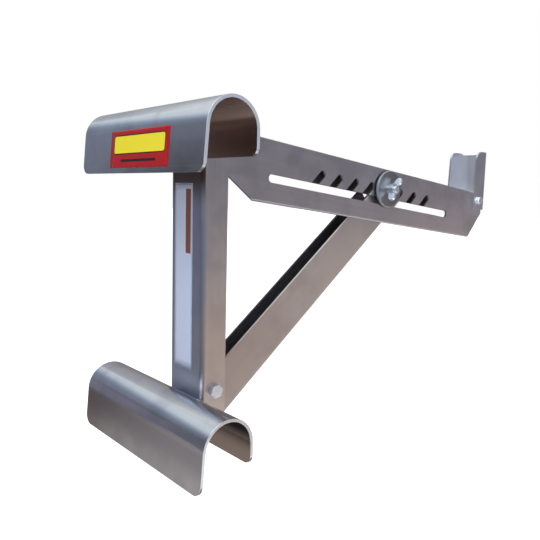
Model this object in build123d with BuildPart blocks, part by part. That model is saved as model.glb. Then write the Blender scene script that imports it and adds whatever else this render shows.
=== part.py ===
"""Ladder jack: a folded-channel bracket that hangs on two ladder rungs and carries a plank.

Frame: millimetres, +Z up along the post, +X outwards along the arm, Y along the rungs.
Origin: centre of the upper rung seat, half way along the saddle.
"""
import os
from math import asin, atan2, cos, degrees, hypot, radians, sin, tan

from build123d import *

os.makedirs("parts", exist_ok=True)

# Driving dimensions
rung_pitch = 305.0          # distance between the two rungs the jack hangs on
saddle_length = 250.0       # along the rung
saddle_bore = 54.2          # inside diameter of the rung seat
saddle_sheet = 3.2          # saddle plate thickness
saddle_front_drop = 40.8    # front leg below the rung axis
saddle_back_drop = 23.8     # back leg below the rung axis
saddle_splay = 4.7          # front leg opens out by this many degrees
saddle_toe = 11.5           # corner radius, front leg
saddle_heel = 10.0          # corner radius, back leg
post_width = 66.0
post_depth = 32.3
post_sheet = 3.0
post_bend = 6.0             # outer bend radius
post_above = 24.0           # post top above the upper rung axis
post_below = 20.0           # post bottom below the lower rung axis
post_corner = 6.0           # corner radius at the flange ends
pivot_inset = 17.3          # both pivots, in from the post's back
arm_pivot_drop = 4.2        # arm pivot below the upper rung axis
strut_pivot_rise = 25.3     # strut pivot above the lower rung axis
arm_slope = 6.8             # arm's fall from square to the post, degrees
arm_sheet = 3.0
arm_width = 44.5            # across the plank face
arm_wall = 73.5             # notched wall depth
arm_skirt = 33.5            # plain wall depth
arm_pivot_depth = 17.5      # pivot below the plank face
arm_reach = 541.0           # pivot to the arm's end along the plank face
arm_root_depth = 33.2       # wall depth at the inner end
arm_root_run = 60.3         # full wall depth reached this far from the pivot
arm_nose_depth = 31.5       # upright part of the outer end
arm_nose_back = 26.2        # lower corner cut back by this much
slot_depth = 44.0           # slot centre below the plank face
slot_start = 85.0           # slot's inner centre from the pivot
slot_finish = 442.0         # slot's outer centre from the pivot
notch_count = 8
notch_pitch = 32.0
notch_first = 167.0         # first notch seat from the pivot
notch_depth = 26.8          # notch seat centre below the plank face
notch_lean = 41.0           # notches lean outwards, degrees from square
notch_used = 5              # notch holding the clamp bolt
strut_width = 25.4
strut_wall = 50.8
strut_sheet = 3.0
strut_edge_low = 11.6       # pivot hole in from the open edge
strut_edge_top = 13.8       # clamp hole in from the open edge
strut_tail = 11.5           # strut past the lower pivot
strut_nose = 18.0           # strut past the clamp bolt
strut_round_low = 10.0      # corner radius by the pivot
strut_round_top = 14.0      # corner radius by the clamp bolt
strut_cut = 18.9            # far wall and web stop short of the clamp bolt by this much
strut_cut_round = 4.0       # corner radius of the shortened far wall
strut_bend = 3.6            # outer corner radius of the section
stop_rise = 67.8            # stop's ears above the plank face
stop_dip = 3.4              # stop's web below the ears
stop_skirt = 25.5           # stop below the plank face
stop_flange_low = 32.5      # flange depth at the foot
stop_flange_top = 28.5      # flange depth at the ears
stop_ear = 13.0             # corner radius of the ears
stop_bolt_inset = 16.0      # stop bolt in from the stop's back
stop_bolt_drop = 10.3       # stop bolt below the plank face
bolt_d = 9.525              # pivot and clamp bolts
stop_bolt_d = 6.35
rivet_d = 6.35
rivet_y = 17.0              # rivets either side of the middle
rivet_drop = 13.0           # rivets below the rung axis
rivet_sink = 2.4            # countersink depth in the saddle
clamp_disc_d = 50.0
clamp_disc_t = 6.0          # over its boss
clamp_boss_d = 30.0
clamp_boss_t = 2.4          # boss between the disc and the arm
clamp_tail = 2.5            # clamp bolt past the wing nut
clamp_bush_t = 3.0          # bush under the clamp bolt's head
wear_d = 26.0               # wear washer across
disc_chamfer = 0.8
hub_d = 15.5                # wing nut hub
hub_t = 10.0                # wing nut hub length
wing_r = 12.5               # wing lobe centre from the bolt axis
wing_lift = 9.5             # wing lobe centre above the disc
wing_lobe = 5.0             # wing lobe radius
wing_t = 3.6
wing_angle = 57.0           # parked angle of the wing nut, degrees

# Clearances
pin_fit = 0.08              # radial, pins and bolts in their holes
slot_gap = 0.3              # radial, clamp bolt in slot and notches
side_gap = 0.5              # arm wall to post flange
wear_t = 1.5                # wear washer between arm wall and strut
spacer_gap = 0.25           # each end of a loose spacer
stop_gap = 0.8              # arm end to stop
tail_gap = 5.3              # arm's inner end to the post's web, clear of its swing

# Post and saddle positions
saddle_r = saddle_bore / 2
saddle_ro = saddle_r + saddle_sheet
back_x = saddle_ro
post_top_z = post_above
post_bottom_z = -rung_pitch - post_below
post_length = post_top_z - post_bottom_z
flange_y = post_width / 2
flange_in = flange_y - post_sheet

# Pivot positions
pivot_x = back_x + pivot_inset
arm_z = -arm_pivot_drop
strut_z = strut_pivot_rise - rung_pitch

# Arm frame: u outwards along the arm, v square to it and upwards, both from the arm pivot
arm_c = cos(radians(arm_slope))
arm_s = sin(radians(arm_slope))
arm_dir = (arm_c, 0, -arm_s)
arm_side = Plane(origin=(pivot_x, 0, arm_z), x_dir=arm_dir, z_dir=(0, -1, 0))
arm_near = -(flange_in - side_gap)
arm_near_in = arm_near + arm_sheet
arm_far = arm_near + arm_width
arm_far_in = arm_far - arm_sheet
face_v = arm_pivot_depth
arm_tail = pivot_inset - post_sheet - tail_gap
wall_v = face_v - arm_wall
skirt_v = face_v - arm_skirt
root_v = face_v - arm_root_depth
slot_v = face_v - slot_depth
seat_v = face_v - notch_depth
slot_w = bolt_d + 2 * slot_gap
seat_u = notch_first + notch_pitch * (notch_used - 1)


def arm_point(u, v):
    """World X and Z of a point given in the arm frame."""
    return pivot_x + u * arm_c + v * arm_s, arm_z - u * arm_s + v * arm_c


# Strut frame: along the strut from its pivot, and square to it towards the open side
clamp_x, clamp_z = arm_point(seat_u, seat_v)
strut_length = hypot(clamp_x - pivot_x, clamp_z - strut_z)
hole_angle = degrees(atan2(clamp_z - strut_z, clamp_x - pivot_x))
strut_angle = hole_angle + degrees(asin((strut_edge_top - strut_edge_low) / strut_length))
strut_c = cos(radians(strut_angle))
strut_s = sin(radians(strut_angle))
strut_dir = (strut_c, 0, strut_s)
strut_side = Plane(origin=(pivot_x, 0, strut_z), x_dir=strut_dir, z_dir=(0, -1, 0))
strut_cut_u = strut_length - strut_cut
strut_near = arm_near_in + wear_t
strut_far = strut_near + strut_width

# Stop position: square to the rungs and upright with the post
end_x, end_z = arm_point(arm_reach, face_v)
stop_x = end_x + stop_gap
stop_out_x = stop_x + arm_sheet
stop_near = arm_near - arm_sheet
stop_far = arm_far + arm_sheet
stop_top_z = end_z + stop_rise
stop_low_z = end_z - stop_skirt
stop_bolt_x = stop_out_x - stop_bolt_inset
stop_bolt_z = end_z - stop_bolt_drop

# Hardware proportions
head_af = 1.5 * bolt_d
head_t = 0.63 * bolt_d
nut_t = 0.87 * bolt_d
washer_d = 2.1 * bolt_d
washer_t = 1.7
bush_d = 16.0
bolt_r = bolt_d / 2
hole_r = bolt_r + pin_fit
stop_head_af = 1.75 * stop_bolt_d
stop_head_t = 0.6 * stop_bolt_d
stop_nut_t = 0.86 * stop_bolt_d
stop_bush_d = 11.0
tail_thread = 3.0           # bolt past its nut
tip_chamfer = 0.8


def cross_plane(x, y, z):
    """Sketch plane square to Y at a point, seen from the front (-Y)."""
    return Plane(origin=(x, y, z), x_dir=(1, 0, 0), z_dir=(0, -1, 0))


def saddle_outline(r, drop_front, drop_back):
    """Inner or outer line of the saddle section, back leg first."""
    s = radians(saddle_splay)
    tip = (-r * cos(s), r * sin(s))
    leg = (drop_front + r * sin(s)) / cos(s)
    foot = (tip[0] - leg * sin(s), -drop_front)
    return (r, -drop_back), (r, 0), (0, r), tip, foot


saddle_out = saddle_outline(saddle_ro, saddle_front_drop, saddle_back_drop)
saddle_in = saddle_outline(saddle_r, saddle_front_drop, saddle_back_drop)
rivet_grip = saddle_sheet + post_sheet
rivet_head_d = 2.0 * rivet_d
rivet_head_t = 2.4
rivet_spots = [(side * rivet_y, drop) for drop in (0, -rung_pitch) for side in (-1, 1)]


def rivet_plane(z):
    """Sketch plane on the back leg's inner face, looking along +X."""
    return Plane(origin=(back_x - saddle_sheet, 0, z), x_dir=(0, 1, 0), z_dir=(1, 0, 0))


# Upper saddle: bent plate hooked over the rung
with BuildPart() as upper_saddle:
    with BuildSketch(cross_plane(0, 0, 0)):
        with BuildLine():
            Line(saddle_out[0], saddle_out[1])
            ThreePointArc(saddle_out[1], saddle_out[2], saddle_out[3])
            Line(saddle_out[3], saddle_out[4])
            Line(saddle_out[4], saddle_in[4])
            Line(saddle_in[4], saddle_in[3])
            ThreePointArc(saddle_in[3], saddle_in[2], saddle_in[1])
            Line(saddle_in[1], saddle_in[0])
            Line(saddle_in[0], saddle_out[0])
        make_face()
    extrude(amount=saddle_length / 2, both=True)
    fillet(upper_saddle.edges().filter_by(Axis.X).group_by(Axis.Z)[0], saddle_toe)
    heel_z = -saddle_back_drop
    heels = upper_saddle.edges().filter_by(Axis.X)
    fillet(heels.filter_by_position(Axis.Z, heel_z - 0.1, heel_z + 0.1), saddle_heel)
    with BuildSketch(rivet_plane(-rivet_drop)):
        with Locations((-rivet_y, 0), (rivet_y, 0)):
            Circle(rivet_d / 2 + rivet_sink + pin_fit)
    extrude(amount=rivet_sink, taper=45, mode=Mode.SUBTRACT)
    with BuildSketch(rivet_plane(-rivet_drop)):
        with Locations((-rivet_y, 0), (rivet_y, 0)):
            Circle(rivet_d / 2 + pin_fit)
    extrude(amount=saddle_sheet, mode=Mode.SUBTRACT)
upper_saddle.part.label = "upper_saddle"
export_step(upper_saddle.part, "parts/upper_saddle.step")

# Lower saddle: the same plate one rung further down
with BuildPart() as lower_saddle:
    with BuildSketch(cross_plane(0, 0, -rung_pitch)):
        with BuildLine():
            Line(saddle_out[0], saddle_out[1])
            ThreePointArc(saddle_out[1], saddle_out[2], saddle_out[3])
            Line(saddle_out[3], saddle_out[4])
            Line(saddle_out[4], saddle_in[4])
            Line(saddle_in[4], saddle_in[3])
            ThreePointArc(saddle_in[3], saddle_in[2], saddle_in[1])
            Line(saddle_in[1], saddle_in[0])
            Line(saddle_in[0], saddle_out[0])
        make_face()
    extrude(amount=saddle_length / 2, both=True)
    fillet(lower_saddle.edges().filter_by(Axis.X).group_by(Axis.Z)[0], saddle_toe)
    heel_z = -rung_pitch - saddle_back_drop
    heels = lower_saddle.edges().filter_by(Axis.X)
    fillet(heels.filter_by_position(Axis.Z, heel_z - 0.1, heel_z + 0.1), saddle_heel)
    with BuildSketch(rivet_plane(-rung_pitch - rivet_drop)):
        with Locations((-rivet_y, 0), (rivet_y, 0)):
            Circle(rivet_d / 2 + rivet_sink + pin_fit)
    extrude(amount=rivet_sink, taper=45, mode=Mode.SUBTRACT)
    with BuildSketch(rivet_plane(-rung_pitch - rivet_drop)):
        with Locations((-rivet_y, 0), (rivet_y, 0)):
            Circle(rivet_d / 2 + pin_fit)
    extrude(amount=saddle_sheet, mode=Mode.SUBTRACT)
lower_saddle.part.label = "lower_saddle"
export_step(lower_saddle.part, "parts/lower_saddle.step")

# Post: folded channel, web against the saddles, flanges towards the arm
with BuildPart() as post_channel:
    with BuildSketch(Plane.XY.offset(post_bottom_z)) as post_section:
        with BuildLine():
            Polyline(
                (back_x + post_depth, -flange_y),
                (back_x, -flange_y),
                (back_x, flange_y),
                (back_x + post_depth, flange_y),
                (back_x + post_depth, flange_in),
                (back_x + post_sheet, flange_in),
                (back_x + post_sheet, -flange_in),
                (back_x + post_depth, -flange_in),
                close=True,
            )
        make_face()
        fillet(post_section.vertices().group_by(Axis.X)[0], post_bend)
        inner = post_section.vertices().filter_by_position(
            Axis.X, back_x + post_sheet - 0.1, back_x + post_sheet + 0.1
        )
        fillet(inner.filter_by_position(Axis.Y, -flange_in - 0.1, flange_in + 0.1), post_bend - post_sheet)
    extrude(amount=post_length)
    fillet(post_channel.edges().filter_by(Axis.Y).group_by(Axis.X)[-1], post_corner)
    with BuildSketch(cross_plane(pivot_x, 0, arm_z)):
        Circle(hole_r)
    extrude(amount=post_width, both=True, mode=Mode.SUBTRACT)
    with BuildSketch(cross_plane(pivot_x, 0, strut_z)):
        Circle(hole_r)
    extrude(amount=post_width, both=True, mode=Mode.SUBTRACT)
    with BuildSketch(rivet_plane(-rivet_drop)):
        with Locations(*rivet_spots):
            Circle(rivet_d / 2 + pin_fit)
    extrude(amount=rivet_grip, mode=Mode.SUBTRACT)
post_channel.part.label = "post_channel"
export_step(post_channel.part, "parts/post_channel.step")

# Saddle rivets: flush inside the rung seats, headed inside the post
with BuildPart() as saddle_rivets:
    with BuildSketch(rivet_plane(-rivet_drop)):
        with Locations(*rivet_spots):
            Circle(rivet_d / 2 + rivet_sink)
    extrude(amount=rivet_sink, taper=45)
    with BuildSketch(rivet_plane(-rivet_drop)):
        with Locations(*rivet_spots):
            Circle(rivet_d / 2)
    extrude(amount=rivet_grip + rivet_head_t / 2)
    with BuildSketch(rivet_plane(-rivet_drop).offset(rivet_grip)):
        with Locations(*rivet_spots):
            Circle(rivet_head_d / 2)
    extrude(amount=rivet_head_t, taper=38)
saddle_rivets.part.label = "saddle_rivets"
export_step(saddle_rivets.part, "parts/saddle_rivets.step")

# Arm: extruded section with a plank face, a deep notched wall and a shallow plain wall
arm_end_u = arm_reach + (arm_wall * tan(radians(arm_slope)))
root_x, root_z = arm_point(-arm_tail, 0)
with BuildPart() as arm_channel:
    with BuildSketch(Plane(origin=(root_x, 0, root_z), x_dir=(0, 1, 0), z_dir=arm_dir)) as arm_section:
        with BuildLine():
            Polyline(
                (arm_near, face_v),
                (arm_far, face_v),
                (arm_far, skirt_v),
                (arm_far_in, skirt_v),
                (arm_far_in, face_v - arm_sheet),
                (arm_near_in, face_v - arm_sheet),
                (arm_near_in, wall_v),
                (arm_near, wall_v),
                close=True,
            )
        make_face()
        fillet(arm_section.vertices().group_by(Axis.Y)[-1], 1.2)
        bottom = arm_section.vertices().filter_by_position(Axis.Y, wall_v - 0.1, wall_v + 0.1)
        fillet(bottom.sort_by(Axis.X)[0], 2.6)
    extrude(amount=arm_end_u + arm_tail)
    # inner end tapers up to the pivot, outer end is cut upright with its lower corner off
    with BuildSketch(arm_side):
        with BuildLine():
            Polyline(
                (-arm_tail - 1, root_v + 0.7),
                (-arm_tail, root_v),
                (arm_root_run, wall_v),
                (arm_root_run, wall_v - 1),
                (-arm_tail - 1, wall_v - 1),
                close=True,
            )
        make_face()
    extrude(amount=post_width, both=True, mode=Mode.SUBTRACT)
    lean = tan(radians(arm_slope))
    with BuildSketch(arm_side):
        with BuildLine():
            Polyline(
                (arm_reach - lean, face_v + 1),
                (arm_reach + lean * arm_nose_depth, face_v - arm_nose_depth),
                (arm_reach - arm_nose_back, wall_v),
                (arm_reach - arm_nose_back, wall_v - 1),
                (arm_end_u + 10, wall_v - 1),
                (arm_end_u + 10, face_v + 1),
                close=True,
            )
        make_face()
    extrude(amount=post_width, both=True, mode=Mode.SUBTRACT)
    # pivot hole through both walls
    with BuildSketch(arm_side):
        Circle(hole_r)
    extrude(amount=post_width, both=True, mode=Mode.SUBTRACT)
    # long slot with its row of leaning notches, in the deep wall only
    with BuildSketch(arm_side.offset(-arm_near_in - 1)):
        with BuildLine():
            Line((slot_start, slot_v + slot_w / 2), (slot_finish, slot_v + slot_w / 2))
            ThreePointArc(
                (slot_finish, slot_v + slot_w / 2),
                (slot_finish + slot_w / 2, slot_v),
                (slot_finish, slot_v - slot_w / 2),
            )
            Line((slot_finish, slot_v - slot_w / 2), (slot_start, slot_v - slot_w / 2))
            ThreePointArc(
                (slot_start, slot_v - slot_w / 2),
                (slot_start - slot_w / 2, slot_v),
                (slot_start, slot_v + slot_w / 2),
            )
        make_face()
        notch_run = (notch_depth - slot_depth) / cos(radians(notch_lean))
        for n in range(notch_count):
            seat = notch_first + notch_pitch * n
            foot_u = seat + notch_run * sin(radians(notch_lean))
            with Locations(((seat + foot_u) / 2, (seat_v + slot_v) / 2)):
                SlotCenterToCenter(-notch_run, slot_w, rotation=90 - notch_lean)
    extrude(amount=arm_sheet + 2, mode=Mode.SUBTRACT)
    # stop bolt hole through both walls
    with BuildSketch(cross_plane(stop_bolt_x, 0, stop_bolt_z)):
        Circle(stop_bolt_d / 2 + pin_fit)
    extrude(amount=post_width, both=True, mode=Mode.SUBTRACT)
arm_channel.part.label = "arm_channel"
export_step(arm_channel.part, "parts/arm_channel.step")

# Strut: channel with its open side towards the post, bolt holes near the open edge
strut_foot = (pivot_x - strut_c * strut_tail, 0, strut_z - strut_s * strut_tail)
strut_back = strut_edge_low - strut_wall
with BuildPart() as strut_channel:
    with BuildSketch(Plane(origin=strut_foot, x_dir=(0, 1, 0), z_dir=strut_dir)) as strut_section:
        with BuildLine():
            Polyline(
                (strut_near, strut_edge_low),
                (strut_near, strut_back),
                (strut_far, strut_back),
                (strut_far, strut_edge_low),
                (strut_far - strut_sheet, strut_edge_low),
                (strut_far - strut_sheet, strut_back + strut_sheet),
                (strut_near + strut_sheet, strut_back + strut_sheet),
                (strut_near + strut_sheet, strut_edge_low),
                close=True,
            )
        make_face()
        fillet(strut_section.vertices().group_by(Axis.Y)[0], strut_bend)
        inner = strut_section.vertices().filter_by_position(
            Axis.Y, strut_back + strut_sheet - 0.1, strut_back + strut_sheet + 0.1
        )
        fillet(inner.filter_by_position(Axis.X, strut_near + 1, strut_far - 1), 0.8)
    extrude(amount=strut_tail + strut_length + strut_nose)
    along = Axis((pivot_x, 0, strut_z), strut_dir)
    out_of = Axis((pivot_x, 0, strut_z), (-strut_s, 0, strut_c))
    tips = strut_channel.edges().filter_by(Axis.Y).group_by(out_of)[-1].group_by(along)
    fillet(tips[0], strut_round_low)
    tips = strut_channel.edges().filter_by(Axis.Y).group_by(out_of)[-1].group_by(along)
    fillet(tips[-1], strut_round_top)
    # the near wall alone runs on to the clamp bolt
    with BuildSketch(strut_side.offset(-strut_near - strut_sheet)) as strut_end:
        with BuildLine():
            Polyline(
                (strut_cut_u, strut_edge_low + 1),
                (strut_cut_u, strut_back - 1),
                (strut_cut_u + strut_cut + 2 * strut_nose, strut_back - 1),
                (strut_cut_u + strut_cut + 2 * strut_nose, strut_edge_low + 1),
                close=True,
            )
        make_face()
    extrude(amount=-strut_width, mode=Mode.SUBTRACT)
    far_tip = strut_channel.edges().filter_by(Axis.Y).filter_by_position(
        along, strut_cut_u - 0.1, strut_cut_u + 0.1
    )
    fillet(far_tip.sort_by(out_of)[-1], strut_cut_round)
    with BuildSketch(cross_plane(pivot_x, 0, strut_z)):
        Circle(hole_r)
    extrude(amount=post_width, both=True, mode=Mode.SUBTRACT)
    with BuildSketch(cross_plane(clamp_x, 0, clamp_z)):
        Circle(hole_r)
    extrude(amount=post_width, both=True, mode=Mode.SUBTRACT)
strut_channel.part.label = "strut_channel"
export_step(strut_channel.part, "parts/strut_channel.step")

# Plank stop: upright channel straddling the arm's end, with rounded ears above its web
stop_free_x = stop_out_x - stop_flange_low
with BuildPart() as plank_stop:
    with BuildSketch(Plane.XY.offset(stop_low_z)) as stop_section:
        with BuildLine():
            Polyline(
                (stop_free_x, stop_near),
                (stop_out_x, stop_near),
                (stop_out_x, stop_far),
                (stop_free_x, stop_far),
                (stop_free_x, stop_far - arm_sheet),
                (stop_x, stop_far - arm_sheet),
                (stop_x, stop_near + arm_sheet),
                (stop_free_x, stop_near + arm_sheet),
                close=True,
            )
        make_face()
        fillet(stop_section.vertices().group_by(Axis.X)[-1], arm_sheet + 0.75 * stop_gap)
        inner = stop_section.vertices().filter_by_position(Axis.X, stop_x - 0.1, stop_x + 0.1)
        fillet(inner, 0.75 * stop_gap)
    extrude(amount=stop_top_z - stop_low_z)
    # side outline: free edges lean in towards the rounded ears
    with BuildSketch(cross_plane(stop_out_x, 0, stop_low_z)) as stop_side:
        with BuildLine():
            Polyline(
                (0, 0),
                (-stop_flange_low, 0),
                (-stop_flange_top, stop_top_z - stop_low_z),
                (0, stop_top_z - stop_low_z),
                close=True,
            )
        make_face()
        ear_tips = stop_side.vertices().group_by(Axis.Y)[-1].sort_by(Axis.X)
        fillet(ear_tips[0], stop_ear)
        ear_tips = stop_side.vertices().group_by(Axis.Y)[-1].sort_by(Axis.X)
        fillet(ear_tips[-1], arm_sheet + 2)
    extrude(amount=post_width, both=True, mode=Mode.INTERSECT)
    # shallow dip along the web's top
    with BuildSketch(Plane(origin=(stop_x, 0, stop_top_z), x_dir=(0, 1, 0), z_dir=(1, 0, 0))) as dip:
        with BuildLine():
            Polyline(
                (stop_near + 4.5, 1),
                (stop_near + 4.5 + stop_dip, -stop_dip),
                (stop_far - 4.5 - stop_dip, -stop_dip),
                (stop_far - 4.5, 1),
                close=True,
            )
        make_face()
        fillet(dip.vertices().group_by(Axis.Y)[0], 4.0)
    extrude(amount=2 * arm_sheet, both=True, mode=Mode.SUBTRACT)
    with BuildSketch(cross_plane(stop_bolt_x, 0, stop_bolt_z)):
        Circle(stop_bolt_d / 2 + pin_fit)
    extrude(amount=post_width, both=True, mode=Mode.SUBTRACT)
plank_stop.part.label = "plank_stop"
export_step(plank_stop.part, "parts/plank_stop.step")

# Pivot bolts with their nuts on the far side
pivot_nut_y = flange_y + washer_t
pivot_shank = flange_y + pivot_nut_y + nut_t + tail_thread
with BuildPart() as arm_pivot_bolt:
    with BuildSketch(cross_plane(pivot_x, -flange_y, arm_z)):
        RegularPolygon(head_af / 2, 6, major_radius=False, rotation=20)
    extrude(amount=head_t)
    with BuildSketch(cross_plane(pivot_x, -flange_y, arm_z)):
        Circle(bolt_r)
    extrude(amount=-pivot_shank)
    chamfer(arm_pivot_bolt.edges().group_by(Axis.Y)[-1], tip_chamfer)
arm_pivot_bolt.part.label = "arm_pivot_bolt"
export_step(arm_pivot_bolt.part, "parts/arm_pivot_bolt.step")

with BuildPart() as strut_pivot_bolt:
    with BuildSketch(cross_plane(pivot_x, -flange_y, strut_z)):
        RegularPolygon(head_af / 2, 6, major_radius=False, rotation=12)
    extrude(amount=head_t)
    with BuildSketch(cross_plane(pivot_x, -flange_y, strut_z)):
        Circle(bolt_r)
    extrude(amount=-pivot_shank)
    chamfer(strut_pivot_bolt.edges().group_by(Axis.Y)[-1], tip_chamfer)
strut_pivot_bolt.part.label = "strut_pivot_bolt"
export_step(strut_pivot_bolt.part, "parts/strut_pivot_bolt.step")

with BuildPart() as arm_pivot_nut:
    with BuildSketch(cross_plane(pivot_x, pivot_nut_y, arm_z)):
        RegularPolygon(head_af / 2, 6, major_radius=False, rotation=8)
        Circle(hole_r, mode=Mode.SUBTRACT)
    extrude(amount=-nut_t)
arm_pivot_nut.part.label = "arm_pivot_nut"
export_step(arm_pivot_nut.part, "parts/arm_pivot_nut.step")

with BuildPart() as strut_pivot_nut:
    with BuildSketch(cross_plane(pivot_x, pivot_nut_y, strut_z)):
        RegularPolygon(head_af / 2, 6, major_radius=False, rotation=22)
        Circle(hole_r, mode=Mode.SUBTRACT)
    extrude(amount=-nut_t)
strut_pivot_nut.part.label = "strut_pivot_nut"
export_step(strut_pivot_nut.part, "parts/strut_pivot_nut.step")

# Washers under both pivot nuts
with BuildPart() as pivot_washers:
    with BuildSketch(cross_plane(pivot_x, flange_y, arm_z)):
        with Locations((0, 0), (0, strut_z - arm_z)):
            Circle(washer_d / 2)
            Circle(hole_r, mode=Mode.SUBTRACT)
    extrude(amount=-washer_t)
pivot_washers.part.label = "pivot_washers"
export_step(pivot_washers.part, "parts/pivot_washers.step")

# Spacer tubes on both pivot bolts, from the arm and the strut to the far flange
with BuildPart() as pivot_spacers:
    with BuildSketch(cross_plane(pivot_x, arm_far + spacer_gap, arm_z)):
        Circle(bush_d / 2)
        Circle(hole_r, mode=Mode.SUBTRACT)
    extrude(amount=-(flange_in - arm_far - 2 * spacer_gap))
    with BuildSketch(cross_plane(pivot_x, strut_far + spacer_gap, strut_z)):
        Circle(bush_d / 2)
        Circle(hole_r, mode=Mode.SUBTRACT)
    extrude(amount=-(flange_in - strut_far - 2 * spacer_gap))
pivot_spacers.part.label = "pivot_spacers"
export_step(pivot_spacers.part, "parts/pivot_spacers.step")

# Collar between the near flange and the strut
with BuildPart() as strut_collar:
    with BuildSketch(cross_plane(pivot_x, -flange_in + spacer_gap, strut_z)):
        Circle(washer_d / 2)
        Circle(hole_r, mode=Mode.SUBTRACT)
    extrude(amount=-(flange_in + strut_near - 2 * spacer_gap))
strut_collar.part.label = "strut_collar"
export_step(strut_collar.part, "parts/strut_collar.step")

# Bushes that keep the arm's walls apart, at its pivot and at the stop bolt
arm_bush_l = arm_width - 2 * arm_sheet - 2 * spacer_gap
with BuildPart() as arm_bushes:
    with BuildSketch(cross_plane(pivot_x, arm_near_in + spacer_gap, arm_z)):
        Circle(bush_d / 2)
        Circle(hole_r, mode=Mode.SUBTRACT)
    extrude(amount=-arm_bush_l)
    with BuildSketch(cross_plane(stop_bolt_x, arm_near_in + spacer_gap, stop_bolt_z)):
        Circle(stop_bush_d / 2)
        Circle(stop_bolt_d / 2 + pin_fit, mode=Mode.SUBTRACT)
    extrude(amount=-arm_bush_l)
arm_bushes.part.label = "arm_bushes"
export_step(arm_bushes.part, "parts/arm_bushes.step")

# Bush that keeps the strut's walls apart at its pivot, and a short one under the clamp bolt's head
strut_bush_y = strut_near + strut_sheet + spacer_gap
clamp_bush_y = strut_near + strut_sheet
clamp_head_y = clamp_bush_y + clamp_bush_t
with BuildPart() as strut_bushes:
    with BuildSketch(cross_plane(pivot_x, strut_bush_y, strut_z)):
        Circle(bush_d / 2)
        Circle(hole_r, mode=Mode.SUBTRACT)
    extrude(amount=-(strut_width - 2 * strut_sheet - 2 * spacer_gap))
    with BuildSketch(cross_plane(clamp_x, clamp_bush_y, clamp_z)):
        Circle(bush_d / 2)
        Circle(hole_r, mode=Mode.SUBTRACT)
    extrude(amount=-clamp_bush_t)
strut_bushes.part.label = "strut_bushes"
export_step(strut_bushes.part, "parts/strut_bushes.step")

# Clamp: bolt through the strut and one notch, wear washer, disc and wing nut
disc_y = arm_near - clamp_disc_t
clamp_tip_y = disc_y - hub_t - clamp_tail
with BuildPart() as clamp_bolt:
    with BuildSketch(cross_plane(clamp_x, clamp_head_y, clamp_z)):
        RegularPolygon(head_af / 2, 6, major_radius=False, rotation=15)
    extrude(amount=-head_t)
    with BuildSketch(cross_plane(clamp_x, clamp_head_y, clamp_z)):
        Circle(bolt_r)
    extrude(amount=clamp_head_y - clamp_tip_y)
    chamfer(clamp_bolt.edges().group_by(Axis.Y)[0], tip_chamfer)
clamp_bolt.part.label = "clamp_bolt"
export_step(clamp_bolt.part, "parts/clamp_bolt.step")

with BuildPart() as wear_washer:
    with BuildSketch(cross_plane(clamp_x, strut_near, clamp_z)):
        Circle(wear_d / 2)
        Circle(hole_r, mode=Mode.SUBTRACT)
    extrude(amount=wear_t)
wear_washer.part.label = "wear_washer"
export_step(wear_washer.part, "parts/wear_washer.step")

with BuildPart() as clamp_disc:
    with BuildSketch(cross_plane(clamp_x, arm_near, clamp_z)):
        Circle(clamp_boss_d / 2)
    extrude(amount=clamp_boss_t)
    with BuildSketch(cross_plane(clamp_x, arm_near - clamp_boss_t, clamp_z)):
        Circle(clamp_disc_d / 2)
    extrude(amount=clamp_disc_t - clamp_boss_t)
    with BuildSketch(cross_plane(clamp_x, arm_near, clamp_z)):
        Circle(hole_r)
    extrude(amount=clamp_disc_t, mode=Mode.SUBTRACT)
    chamfer(clamp_disc.edges().group_by(Axis.Y)[0].sort_by(SortBy.RADIUS)[-1], disc_chamfer)
clamp_disc.part.label = "clamp_disc"
export_step(clamp_disc.part, "parts/clamp_disc.step")

# Wing nut: round hub with two rounded wings standing away from the disc
wing_c = cos(radians(wing_angle))
wing_s = sin(radians(wing_angle))
wing_plane = Plane(
    origin=(clamp_x, disc_y, clamp_z), x_dir=(wing_c, 0, wing_s), z_dir=(wing_s, 0, -wing_c)
)
with BuildPart() as wing_nut:
    with BuildSketch(wing_plane):
        with BuildLine():
            Polyline(
                (wing_r, wing_lift - wing_lobe),
                (hub_d / 2 - 1.5, 2.0),
                (1.5 - hub_d / 2, 2.0),
                (-wing_r, wing_lift - wing_lobe),
                (-wing_r - 2, wing_lift + wing_lobe - 1),
                (-hub_d / 3, hub_t - 2.5),
                (hub_d / 3, hub_t - 2.5),
                (wing_r + 2, wing_lift + wing_lobe - 1),
                close=True,
            )
        make_face()
        with Locations((wing_r, wing_lift), (-wing_r, wing_lift)):
            Circle(wing_lobe)
    extrude(amount=wing_t / 2, both=True)
    with BuildSketch(cross_plane(clamp_x, disc_y, clamp_z)):
        Circle(hub_d / 2)
    extrude(amount=hub_t)
    with BuildSketch(cross_plane(clamp_x, disc_y, clamp_z)):
        Circle(hole_r)
    extrude(amount=hub_t + 12, mode=Mode.SUBTRACT)
wing_nut.part.label = "wing_nut"
export_step(wing_nut.part, "parts/wing_nut.step")

# Stop fixing: through bolt with its nut on the far flange
with BuildPart() as stop_bolt:
    with BuildSketch(cross_plane(stop_bolt_x, stop_near, stop_bolt_z)):
        RegularPolygon(stop_head_af / 2, 6, major_radius=False, rotation=5)
    extrude(amount=stop_head_t)
    with BuildSketch(cross_plane(stop_bolt_x, stop_near, stop_bolt_z)):
        Circle(stop_bolt_d / 2)
    extrude(amount=-(stop_far + stop_nut_t + tail_thread - stop_near))
    chamfer(stop_bolt.edges().group_by(Axis.Y)[-1], tip_chamfer)
stop_bolt.part.label = "stop_bolt"
export_step(stop_bolt.part, "parts/stop_bolt.step")

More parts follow.
